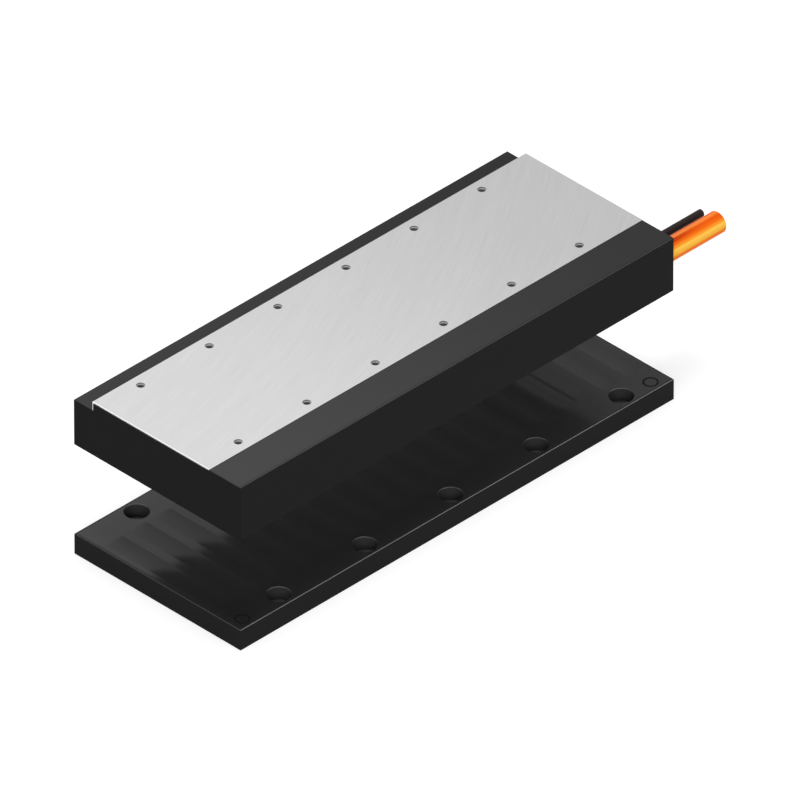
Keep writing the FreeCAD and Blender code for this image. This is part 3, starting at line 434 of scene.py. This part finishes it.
def cast_resin():
    """Black potting resin, a little dusty on top, as the mould left it on the sides.

    The top is painted lighter than the sides, painted light from above, and painted shade darkens it
    along
    X. The ends are painted darker than the other sides, painted shade. The top is darker on the far
    ledge and in the seam beside the plate, and painted shade darkens it just inside the near edge. Its
    upper edges get a painted highlight, and small pits are strewn all over.
    """
    f = Finish("casting_resin")
    top = f.square_to(Z) * f.z.rise(70.0, 74.0)
    grain = f.cloud(0.45, 4.0)
    drift = f.cloud(60.0, 2.0, f.drawn(3.0))
    pits = f.cells(3.1).rise(0.09, 0.05)
    along = f.x.rise(-135.0, 130.0)
    mould = f.mix(grain * 0.6 + drift * 0.4, grey(12), grey(21))
    # Painted shade: the ends darker than the other sides
    mould = f.mix(f.square_to(X) * 0.75, mould, grey(2))
    # Painted light and painted shade: the top's tones are far lighter than the sides' and darken along X
    bare, dusty = f.mix(along, grey(61), grey(42)), f.mix(along, grey(69), grey(50))
    top_tone_painted_light = f.mix(grain * 0.5 + drift * 0.5, bare, dusty)
    top_tone_painted_light = f.mix(f.z.rise(FORCER_TOP - 2.0, FORCER_TOP - 3.0) * 0.3, top_tone_painted_light, grey(34))
    # Painted shade just inside the near edge, beside its highlight
    near_edge_shade = f.y.rise(BODY_NEAR + 1.1, BODY_NEAR + 0.9) * f.y.rise(BODY_NEAR + 0.1, BODY_NEAR + 0.5)
    seam = f.y.rise(PLATE_NEAR - 0.45, PLATE_NEAR - 0.25) * f.y.rise(PLATE_NEAR + 5.0, PLATE_NEAR + 2.0)
    # Painted highlight along the upper edges, the far ledge's among them
    ledge = f.z.rise(FORCER_TOP - 5.0, FORCER_TOP - 4.9) * f.z.rise(FORCER_TOP - 4.3, FORCER_TOP - 4.4)
    brim_highlight = f.z.rise(FORCER_TOP - 0.5, FORCER_TOP - 0.4) + ledge * f.y.rise(30.0, 35.0)
    colour = f.overlay(mould, (
        (top, top_tone_painted_light),
        (near_edge_shade * top * 0.35, grey(22)),
        (f.edges(0.8) * brim_highlight * 0.8, grey(72)),
        (seam * top * 0.8, grey(12)),
        (pits * 0.3, grey(16)),
    ))
    return f.done(
        Base_Color=colour, Roughness=0.6 + grain * 0.15, Specular_Level=0.1,
        Normal=f.relief(grain - pits, 0.02),
    )


# Painted reflections on the orange jacket, as bands along it: a place round it, from 0 to 1, and a
# screen colour
ORANGE_PAINTED_REFLECTIONS = (
    (0.42, (255, 134, 26)), (0.468, (255, 118, 10)), (0.485, (255, 138, 26)), (0.505, (255, 186, 58)),
    (0.55, (255, 193, 74)), (0.585, (255, 200, 80)), (0.6, (250, 152, 44)), (0.625, (246, 142, 36)),
    (0.645, (238, 108, 18)), (0.72, (232, 84, 10)), (0.745, (246, 128, 42)), (0.79, (250, 138, 50)),
    (0.81, (226, 98, 26)),
)


def orange_sheath():
    """Extruded orange jacket: satin, with drawn lines along it, bands along it that are painted
    reflections, and painted shade on one band near the body.
    """
    f = Finish("orange_jacket")
    drawn = f.cloud(0.7, 3.0, f.drawn(30.0))
    mottle = f.cloud(7.0, 2.0)
    angle = f.x.math("ARCTAN2", f.z - CABLE_HEIGHT, CABLE_LINE - f.y)
    around = angle / (2 * math.pi) + 0.5
    stops = [(place, tint(*colour)) for place, colour in ORANGE_PAINTED_REFLECTIONS]
    # Painted reflections: lighter and darker bands round the jacket stand in for its highlights
    bands = f.read("ShaderNodeValToRGB", {"stops": stops}, {"Fac": around})
    near = f.x.rise(FORCER_END + 26.0, FORCER_END + 4.0)
    painted_shade_mask = around.rise(0.655, 0.7) * around.rise(0.75, 0.735)
    shade = f.mix(drawn * 0.6 + mottle * 0.4, grey(236), grey(255))
    colour = f.mix(1.0, bands, shade, "MULTIPLY")
    # Painted shade: one band turns deep red close to the cast body
    colour = f.mix(near * painted_shade_mask * 0.85, colour, tint(176, 44, 6))
    return f.done(
        Base_Color=colour, Roughness=0.45 + drawn * 0.08, Specular_Level=0.06,
        Coat_Weight=0.02 + mottle * 0.04, Coat_Roughness=0.15,
        Normal=f.relief(drawn, 0.015),
    )


def black_sheath():
    """Extruded black jacket of the sensor cable: satin, with drawn lines along it."""
    f = Finish("black_jacket")
    drawn = f.cloud(0.6, 3.0, f.drawn(30.0))
    colour = f.mix(drawn, tint(31, 25, 25), tint(43, 36, 36))
    return f.done(
        Base_Color=colour, Roughness=0.5 + drawn * 0.14, Specular_Level=0.16,
        Normal=f.relief(drawn, 0.015),
    )


def bevel_painted_highlight():
    """Dark enamel on a counterbore's bevel, with a painted highlight, lighter and partly metallic, on
    the side towards X and Y.
    """
    f = Finish("bevel_painted_highlight")
    grain = f.cloud(0.8, 4.0)
    near_row = f.y.rise(1.0, -1.0)
    from_x = f.x.nearest(TRACK_HOLE_PITCH, TRACK_HOLE_CENTRE)
    from_y = near_row * (f.y + TRACK_HOLE_ROW) + (1 - near_row) * (f.y - TRACK_HOLE_ROW)
    # Painted highlight on the far side of each bevel, towards X and Y
    far_side_highlight = (from_x + from_y).rise(1.0, HEAD_RADIUS * 1.4)
    colour = f.mix(far_side_highlight, grey(22), f.mix(grain, grey(96), grey(140)))
    return f.done(
        Base_Color=colour, Metallic=far_side_highlight * 0.4, Roughness=0.42 + grain * 0.2, Specular_Level=0.15,
        Normal=f.relief(grain, 0.006),
    )


def marking_paint():
    """Matt black print, a little scuffed, for the plain rings on the track."""
    f = Finish("marking_paint")
    grain = f.cloud(0.5, 4.0)
    colour = f.mix(grain, grey(18), grey(28))
    return f.done(Base_Color=colour, Roughness=0.8 + grain * 0.1, Specular_Level=0.05)


# Finishes of what the cast body hides

def banded(name, pitch, axis, dark, bright, rough, depth, **extra):
    """Even fine bands across one axis: sheets of a stack, or the turns of a winding."""
    f = Finish(name)
    place = (f.x, f.y, f.z)[axis]
    wave = (place * (2 * math.pi / pitch)).sine() * 0.5 + 0.5
    grain = f.cloud(1.1, 3.0)
    colour = f.mix(wave * 0.7 + grain * 0.3, dark, bright)
    return f.done(
        Base_Color=colour, Roughness=rough + grain * 0.15,
        Normal=f.relief(wave, depth), **extra,
    )


def moulded(name, dark, bright, rough):
    """Moulded plastic or cast filler: soft mottling and a fine grain."""
    f = Finish(name)
    fine, broad = 1.2, 9.6
    mottle = f.cloud(broad, 2.0)
    grain = f.cloud(fine, 3.0)
    colour = f.mix(mottle * 0.5 + grain * 0.5, dark, bright)
    return f.done(Base_Color=colour, Roughness=rough + grain * 0.12, Normal=f.relief(grain, 0.01))


def rolled(name, dark, bright, rough):
    """Rolled or drawn metal: long streaks along X."""
    f = Finish(name)
    streak = f.cloud(0.8, 3.0, f.drawn(25.0))
    stain = f.cloud(14.0, 2.0)
    colour = f.mix(streak * 0.6 + stain * 0.4, dark, bright)
    return f.done(
        Base_Color=colour, Metallic=1.0, Roughness=rough + streak * 0.15,
        Normal=f.relief(streak, 0.006),
    )


def woven(name, dark, bright, rough, pitch):
    """Glass cloth or slot paper: a plain weave seen through its resin."""
    f = Finish(name)
    turn = 2 * math.pi / pitch
    weave = (f.x * turn).sine() * (f.y * turn).sine() * (f.z * turn + 1.0).sine() * 0.5 + 0.5
    blotch = f.cloud(9.0, 2.0)
    colour = f.mix(weave * 0.5 + blotch * 0.5, dark, bright)
    return f.done(Base_Color=colour, Roughness=rough + blotch * 0.1, Normal=f.relief(weave, 0.01))


FINISHES = {
    "black_coated_iron": coated_track(),
    "frame_resin": magnet_cover(),
    "magnets_north": magnet_coat("coated_magnet_north", 2),
    "magnets_south": magnet_coat("coated_magnet_south", 0),
    "milled_aluminium": milled_plate(),
    "cut_thread": cut_thread(),
    "casting_resin": cast_resin(),
    "orange_jacket": orange_sheath(),
    "black_jacket": black_sheath(),
    "bevel_painted_highlight": bevel_painted_highlight(),
    "marking_paint": marking_paint(),
    "electrical_steel": banded(
        "electrical_steel", LAMINATION, Y, grey(84), grey(142), rough=0.42, depth=0.02, Metallic=0.9,
    ),
    "enamelled_copper": banded(
        "enamelled_copper", TURN_PITCH, Z, tint(112, 46, 22), tint(196, 104, 52), rough=0.28, depth=0.06,
        Metallic=0.85, Coat_Weight=0.5, Coat_Roughness=0.15,
    ),
    "tie_steel": rolled("tie_steel", grey(120), grey(172), 0.35),
    "bar_copper": rolled("bar_copper", tint(168, 92, 58), tint(226, 142, 102), 0.28),
    "strand_copper": rolled("strand_copper", tint(186, 102, 60), tint(240, 158, 112), 0.24),
    "bobbin_nylon": moulded("bobbin_nylon", tint(206, 200, 182), tint(228, 223, 206), 0.45),
    "holder_nylon": moulded("holder_nylon", tint(58, 66, 74), tint(82, 92, 100), 0.45),
    "slot_paper": woven("slot_paper", tint(196, 176, 132), tint(222, 205, 164), rough=0.7, pitch=0.9),
    "glass_epoxy": woven("glass_epoxy", tint(150, 160, 88), tint(188, 194, 120), rough=0.35, pitch=1.1),
    "core_insulation": moulded("core_insulation", grey(30), grey(46), 0.38),
    "earth_insulation": banded(
        "earth_insulation", EARTH_STRIPE, X, tint(52, 126, 48), tint(214, 196, 40),
        rough=0.36, depth=0.0,
    ),
    "sensor_resin": moulded("sensor_resin", tint(34, 62, 120), tint(52, 84, 150), 0.3),
    "sensor_insulation": moulded("sensor_insulation", tint(196, 196, 190), tint(220, 220, 214), 0.4),
}

NODE_FINISHES = {
    "black_coated_iron": ["back_iron"],
    "frame_resin": ["magnet_frame"],
    "magnets_north": ["magnets_north"],
    "magnets_south": ["magnets_south"],
    "milled_aluminium": ["mounting_plate"],
    "casting_resin": ["potting_body"],
    "orange_jacket": ["power_cable_jacket"],
    "black_jacket": ["sensor_cable_jacket"],
    "electrical_steel": ["lamination_stack"],
    "tie_steel": ["stack_tie_bars"],
    "bobbin_nylon": ["coil_bobbins"],
    "enamelled_copper": ["coils_phase_u", "coils_phase_v", "coils_phase_w"],
    "slot_paper": ["slot_separators"],
    "glass_epoxy": ["slot_wedges"],
    "bar_copper": ["bus_bar_u", "bus_bar_v", "bus_bar_w", "star_bar", "earth_strip"],
    "holder_nylon": ["bar_holders"],
    "core_insulation": ["power_cable_cores"],
    "earth_insulation": ["earth_core"],
    "sensor_resin": ["temperature_sensors"],
    "sensor_insulation": ["sensor_wire"],
}


def dress_nodes():
    """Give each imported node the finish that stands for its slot."""
    for name, nodes in NODE_FINISHES.items():
        for node in nodes:
            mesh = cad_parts[node].data
            mesh.materials.clear()
            mesh.materials.append(FINISHES[name])


# New pieces

def add_object(name, data):
    """Put a lamp, a camera or a mesh in the scene."""
    thing = bpy.data.objects.new(name, data)
    bpy.context.scene.collection.objects.link(thing)
    return thing


def grid_faces(rows, columns, closed_rows):
    """Four-cornered faces of a grid whose columns run round, and its rows too where they are closed."""
    row = np.arange(rows if closed_rows else rows - 1)[:, None]
    column = np.arange(columns)[None, :]
    below = row * columns
    above = (row + 1) % rows * columns
    beside = (column + 1) % columns
    return np.stack([below + column, below + beside, above + beside, above + column], -1).reshape(-1, 4)


def add_piece(name, points, faces, body, finish, replaced=()):
    """Make a smooth mesh piece from points in millimetres and faces, which rides on a body."""
    sharp = math.radians(40.0)
    mesh = bpy.data.meshes.new(name)
    mesh.from_pydata((points.reshape(-1, 3) * MM).tolist(), [], faces.tolist())
    mesh.validate()
    mesh.shade_smooth()
    mesh.set_sharp_from_angle(angle=sharp)
    mesh.materials.append(FINISHES[finish])
    piece = add_object(name, mesh)
    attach(piece, body)
    if replaced:
        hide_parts(*replaced)


def placed(*sides):
    """Points from their x, y and z, each a number or a grid that fits the others."""
    return np.stack(np.broadcast_arrays(*sides), -1)


def turned(along, radius, middle, angles):
    """Points round a line along X: each lies radius from the middle, at its angle from Y towards Z."""
    return placed(along, middle[0] + radius * np.cos(angles), middle[1] + radius * np.sin(angles))


def many(points, faces, shifts):
    """The same small shape at each of the shifts, with its faces numbered on."""
    count = points.reshape(-1, 3).shape[0]
    shifts = np.array(shifts)
    copies = points.reshape(1, -1, 3) + shifts[:, None, :]
    numbered = faces[None, :, :] + np.arange(len(shifts))[:, None, None] * count
    return copies.reshape(-1, 3), numbered.reshape(-1, faces.shape[1])


def full_turn(steps):
    """Evenly spread angles round a circle, the last one short of the first."""
    return np.arange(steps)[None, :] * (2 * np.pi / steps)


def quarter_turn(steps):
    """Angles from nothing to a right angle, with both ends."""
    return np.linspace(0, np.pi / 2, steps)


def evenly(count, pitch, centre=0.0):
    """Places a pitch apart, spread evenly about their centre."""
    return centre + pitch * (np.arange(count) - (count - 1) / 2)


def two_rows(columns, middle, row):
    """Shifts to the places of two rows along X, a row on each side of a middle line."""
    return [[x, middle + side * row, 0.0] for side in (-1, 1) for x in columns]


def lobed(angles, lobes, offset, radius, cleft):
    """Distance from the middle to the outline of a few equal circles spread round it.

    Along an angle a from the nearest circle's own direction, the outline is
    offset cos a + sqrt(radius² - offset² sin² a), and the root is kept from falling below the cleft's
    value, which rounds the clefts between the circles.
    """
    step = 2 * np.pi / lobes
    apart = angles - np.round(angles / step) * step
    root = np.maximum(radius ** 2 - (offset * np.sin(apart)) ** 2, cleft ** 2)
    return offset * np.cos(apart) + np.sqrt(root)


def make_sheath(name, node, finish, lobes, offset, radius, lip):
    """A cable jacket as a tube: a round outside, a lobed bore, and a rounded lip at the cut end.

    The section's outline is carried round the cable's axis. It runs out along the jacket, over a quarter
    circle of the lip's radius, across the cut face, and back through the bore, whose mouth is widened a
    little. It gives the cable's middle and its outer radius.
    """
    turns, straight, arc = 96, 24, 7
    cleft, mouth, neck, flare = 0.25, 0.15, 1.5, 0.1
    low, high = (Vector(corner) * PER_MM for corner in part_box(node))
    middle = ((low.y + high.y) / 2, (low.z + high.z) / 2)
    outside = (high.y - low.y) / 2
    angles = full_turn(turns)
    bend = quarter_turn(arc)[1:]
    out = np.linspace(low.x, high.x - lip, straight)
    rim = high.x - lip + lip * np.sin(bend)
    back = np.array([high.x, high.x - mouth, high.x - neck, low.x])
    along = np.concatenate([out, rim, back])[:, None]
    skin = np.concatenate([np.full(straight, outside), outside - lip + lip * np.cos(bend)])
    outer = np.broadcast_to(skin[:, None], (len(skin), turns))
    widened = np.array([flare, 0.0, 0.0, 0.0])[:, None]
    reach = np.concatenate([outer, lobed(angles, lobes, offset, radius, cleft) + widened])
    points = turned(along, reach, middle, angles)
    add_piece(name, points, grid_faces(len(along), turns, True), "forcer", finish, (node,))
    return middle, outside


def make_collar(name, middle, outside, reach):
    """Resin drawn up round a cable where it leaves the cast body: a ring with a hollow quarter round.

    At an angle a the outline is outside + reach (1 - sin a) from the axis, plus a small clearance, and
    reach (1 - cos a) from the body's face. The ring is closed within the jacket and within the body.
    """
    turns, arc = 72, 10
    sunk, clear, within = 0.3, 0.04, 0.1
    bend = quarter_turn(arc)
    hollow_along, hollow_away = reach * (1 - np.cos(bend)), clear + reach * (1 - np.sin(bend))
    along = FORCER_END + np.concatenate([[-sunk], hollow_along, [-sunk]])
    away = outside + np.concatenate([[reach], hollow_away, [-within]])
    points = turned(along[:, None], away[:, None], middle, full_turn(turns))
    faces = grid_faces(len(along), turns, True)
    add_piece(name, points, faces, "forcer", "casting_resin")


def hexagon_packing(rings, pitch):
    """Middles of round wires laid in rings: one, then six, then twelve."""
    places = [(0.0, 0.0)]
    for ring in range(1, rings + 1):
        turn = np.arange(6 * ring) * (2 * np.pi / (6 * ring))
        places += list(zip(ring * pitch * np.cos(turn), ring * pitch * np.sin(turn)))
    return np.array(places)


def make_strands(name, middles, rings, wire, end):
    """Cut ends of stranded copper: short wires with nearly flat ends, repeated round each core's middle.

    At an angle a over its end a wire's radius is wire cos a, at the height proud sin a over the cut, and
    it starts inside the core.
    """
    turns, arc = 10, 5
    inside, proud, tip, spacing = 0.8, 0.01, 0.02, 2.02
    bend = quarter_turn(arc)[:-1]
    along = np.concatenate([[-inside], proud * np.sin(bend), [proud]])[:, None]
    away = np.concatenate([[wire], wire * np.cos(bend), [wire * tip]])[:, None]
    points = turned(along, away, (0.0, 0.0), full_turn(turns))
    spots = hexagon_packing(rings, wire * spacing)
    shifts = [[end, y + dy, z + dz] for y, z in middles for dy, dz in spots]
    points, faces = many(points, grid_faces(len(along), turns, True), shifts)
    add_piece(name, points, faces, "forcer", "strand_copper")


def make_threads():
    """Threads of the tapped holes, as closed sleeves with a grooved inside.

    Inside, the radius is the bore less the depth times a triangle wave of height / pitch - angle / turn,
    with its points cut flat. The grid's rows climb one pitch in a turn, so they follow the helix, and
    each height is held between the thread's two ends. Outside, the sleeve lies within the plate.
    """
    pitch, depth, steps, turns = 0.7, 0.24, 8, 28
    steepness, flat, wall = 1.3, 0.1, 0.12
    above_floor, below_mouth = 0.4, 0.35
    low, high = FORCER_TOP - TAP_DEPTH + above_floor, FORCER_TOP - below_mouth
    rows = int((high - low) / pitch * steps) + 3 * steps
    angles = full_turn(turns)
    climb = np.arange(rows)[:, None] / steps + angles / (2 * np.pi)
    height = np.clip(low - pitch + climb * pitch, low, high)
    wave = np.abs((height / pitch - angles / (2 * np.pi)) % 1 - 0.5) * 2
    inside = TAP_BORE - depth * np.clip(wave * steepness - flat, 0, 1)
    inside = np.where((height <= low) | (height >= high), TAP_BORE, inside)
    ring = np.concatenate([inside, np.full((2, turns), TAP_BORE + wall)])
    level = np.concatenate([height, np.full((1, turns), high), np.full((1, turns), low)])
    points = placed(ring * np.cos(angles), ring * np.sin(angles), level)
    shifts = two_rows(evenly(TAP_COLUMNS, TAP_PITCH, TAP_CENTRE), PLATE_MIDDLE, TAP_ROW)
    points, faces = many(points, grid_faces(rows + 2, turns, True)[:, ::-1], shifts)
    add_piece("tapped_threads", points, faces, "forcer", "cut_thread")


def with_guards(share, size, guard):
    """Places on a length at the given shares of its half, with a guard line a little beyond each end."""
    return np.concatenate([[-size / 2 - guard], share * size / 2, [size / 2 + guard]])


def make_film():
    """The resin film over the magnets: flush with the track's top, crowned a little over each magnet.

    Over a magnet its height above the rest is crown (1 - u²) (1 - |v| to the power of flatness), where
    u and v run from -1 to 1 across the magnet's width and along its length. Guard lines beside the
    magnets' edges keep the flat film flat. A section across the travel runs over the film and back
    below it, and is carried along the track. The two ends are closed.
    """
    crown, flatness, thick, above, guard = 0.14, 30, 0.04, 0.012, 0.06
    half = np.array([0.25, 0.5, 0.7, 0.85, 0.96, 1.0])
    share = np.concatenate([-half[::-1], [0.0], half])
    middles = evenly(MAGNET_COUNT, MAGNET_PITCH)
    x = (middles[:, None] + with_guards(share, MAGNET_WIDTH, guard)).ravel()
    x = np.sort(np.concatenate([x, [-FILM_END, FILM_END]]))
    y = np.concatenate([[-FILM_SIDE], with_guards(share, MAGNET_LENGTH, guard), [FILM_SIDE]])
    off = np.abs(x[:, None] - middles).min(1) / (MAGNET_WIDTH / 2)
    within = 1 - np.minimum(off, 1) ** 2
    between = 1 - np.minimum(np.abs(y) / (MAGNET_LENGTH / 2), 1) ** flatness
    upper = TRACK_TOP + above + crown * within[:, None] * between[None, :]
    level = np.concatenate([upper, upper[:, ::-1] - thick], 1)
    points = placed(x[:, None], np.concatenate([y, y[::-1]]), level)
    rows, columns = level.shape
    low = np.arange(len(y) - 1)
    cap = np.stack([low, low + 1, columns - 2 - low, columns - 1 - low], 1)
    far_cap = cap[:, ::-1] + (rows - 1) * columns
    faces = np.concatenate([grid_faces(rows, columns, False)[:, ::-1], cap, far_cap])
    add_piece("magnet_film", points, faces, "track", "black_coated_iron")


def flat_rings(away, level, turns):
    """A section carried round an axis along Z: distances from it, and heights over the track's top."""
    angles = full_turn(turns)
    away = np.array(away)[:, None]
    return placed(away * np.cos(angles), away * np.sin(angles), TRACK_TOP + np.array(level)[:, None])


def make_head_rims():
    """A narrow bevel round the mouth of each counterbore: a three-cornered section carried round it."""
    reach, behind, proud, turns = 0.22, 0.05, 0.004, 72
    away = [HEAD_RADIUS + behind, HEAD_RADIUS + behind, HEAD_RADIUS - reach]
    points = flat_rings(away, [proud, -reach, -reach], turns)
    columns = evenly(TRACK_HOLE_COLUMNS, TRACK_HOLE_PITCH, TRACK_HOLE_CENTRE)
    shifts = two_rows(columns, 0.0, TRACK_HOLE_ROW)
    points, faces = many(points, grid_faces(len(away), turns, True)[:, ::-1], shifts)
    add_piece("head_rims", points, faces, "track", "bevel_painted_highlight")


def make_pole_rings():
    """A plain ring at each end of the track: a thin flat band carried round a circle."""
    inner, outer, slope, sunk, proud, turns = 2.62, 3.38, 0.02, 0.05, 0.03, 96
    away = [inner, outer, outer - slope, inner + slope]
    points = flat_rings(away, [-sunk, -sunk, proud, proud], turns)
    shifts = [[x, y, 0.0] for x, y in POLE_MARKS]
    points, faces = many(points, grid_faces(len(away), turns, True), shifts)
    add_piece("pole_rings", points, faces, "track", "marking_paint")


# Camera, light and floor

def point_along(thing, heading):
    """Turn a lamp or a camera so that it looks along a heading."""
    thing.rotation_mode = "QUATERNION"
    thing.rotation_quaternion = Vector(heading).to_track_quat("-Z", "Y")


def aim_camera():
    """A very long lens from the front left and above, so that the three axes look equally long."""
    data = bpy.data.cameras.new("camera")
    data.lens = 1650.0
    data.sensor_width = 36.0
    data.clip_start = 0.1
    data.clip_end = 100.0
    camera = add_object("camera", data)
    back = Vector((-1.0, -1.0, 1.0)).normalized()
    target = Vector((0.005070, -0.009360, 0.040110))
    view_width = 0.3261
    camera.location = target + back * (view_width * data.lens / data.sensor_width)
    point_along(camera, -back)
    bpy.context.scene.camera = camera


def seen_directly(nodes):
    """1 for what the camera sees, straight, mirrored or through glass, and 0 for light on things."""
    rays = nodes.node("ShaderNodeLightPath").outputs
    camera, mirrored, through = (
        Reading(nodes, rays[name]) for name in ("Is Camera Ray", "Is Glossy Ray", "Is Transmission Ray")
    )
    return camera.or_more(mirrored).or_more(through)


def light_scene():
    """A soft lamp nearly overhead, one from the front, a weak one from behind, and an even sky.

    The sky looks white. Shiny faces mirror it and not the lamps, so that none of them burns out.
    """
    world = bpy.data.worlds.new("sky")
    bpy.context.scene.world = world
    nodes = Nodes(world)
    ambient = 0.3
    limits = {"Value": seen_directly(nodes), "To Min": ambient, "To Max": 1.0}
    level = nodes.read("ShaderNodeMapRange", None, limits, "Result")
    sky = nodes.read("ShaderNodeBackground", None, {"Color": grey(255), "Strength": level})
    nodes.node("ShaderNodeOutputWorld", None, {"Surface": sky})
    # Each lamp: its strength, its spread in degrees and its heading
    lamps = (
        ("overhead", 2.05, 25.0, (0.02, 0.04, -1.0)),
        ("front", 1.85, 40.0, (0.72, 0.73, -0.2)),
        ("back", 0.9, 40.0, (-0.5, -0.85, -0.1)),
    )
    for name, strength, spread, heading in lamps:
        lamp = bpy.data.lights.new(name, "SUN")
        lamp.energy = strength
        lamp.angle = math.radians(spread)
        holder = add_object(name, lamp)
        point_along(holder, heading)
        holder.visible_glossy = False


def lay_floor():
    """A wide pale floor under the track, which looks white and keeps the soft shadow."""
    size, under = 30.0, 0.0002
    pale_level, white_level, glow_level = 0.68, 0.45, 0.63
    mesh = bpy.data.meshes.new("floor")
    corners = [(-size, -size, 0), (size, -size, 0), (size, size, 0), (-size, size, 0)]
    mesh.from_pydata(corners, [], [(0, 1, 2, 3)])
    floor = add_object("floor", mesh)
    floor.location.z = -under
    material = bpy.data.materials.new("pale_floor")
    nodes = Nodes(material)
    pale, white = (
        nodes.read("ShaderNodeBsdfDiffuse", None, {"Color": (level, level, level, 1.0)})
        for level in (pale_level, white_level)
    )
    glow = nodes.read("ShaderNodeEmission", None, {"Strength": glow_level})
    lifted = nodes.read("ShaderNodeAddShader", None, {0: white, 1: glow})
    either = nodes.read("ShaderNodeMixShader", None, {0: seen_directly(nodes), 1: pale, 2: lifted})
    nodes.node("ShaderNodeOutputMaterial", None, {"Surface": either})
    mesh.materials.append(material)


aim_camera()
light_scene()
lay_floor()
dress_nodes()
power_middle, power_outside = make_sheath(
    "power_sheath", "power_cable_jacket", "orange_jacket",
    lobes=4, offset=CORE_OFFSET, radius=CORE_BORE, lip=0.3,
)
sensor_middle, sensor_outside = make_sheath(
    "sensor_sheath", "sensor_cable_jacket", "black_jacket",
    lobes=2, offset=WIRE_OFFSET, radius=WIRE_BORE, lip=0.2,
)
make_collar("power_collar", power_middle, power_outside, reach=1.1)
make_collar("sensor_collar", sensor_middle, sensor_outside, reach=0.7)
core_spots = [
    (power_middle[0] + CORE_OFFSET * y, power_middle[1] + CORE_OFFSET * z)
    for y, z in ((1, 0), (-1, 0), (0, 1), (0, -1))
]
make_strands("core_strands", core_spots, rings=2, wire=0.17, end=CUT)
make_threads()
make_film()
make_head_rims()
make_pole_rings()

bpy.context.scene.view_settings.view_transform = "Standard"
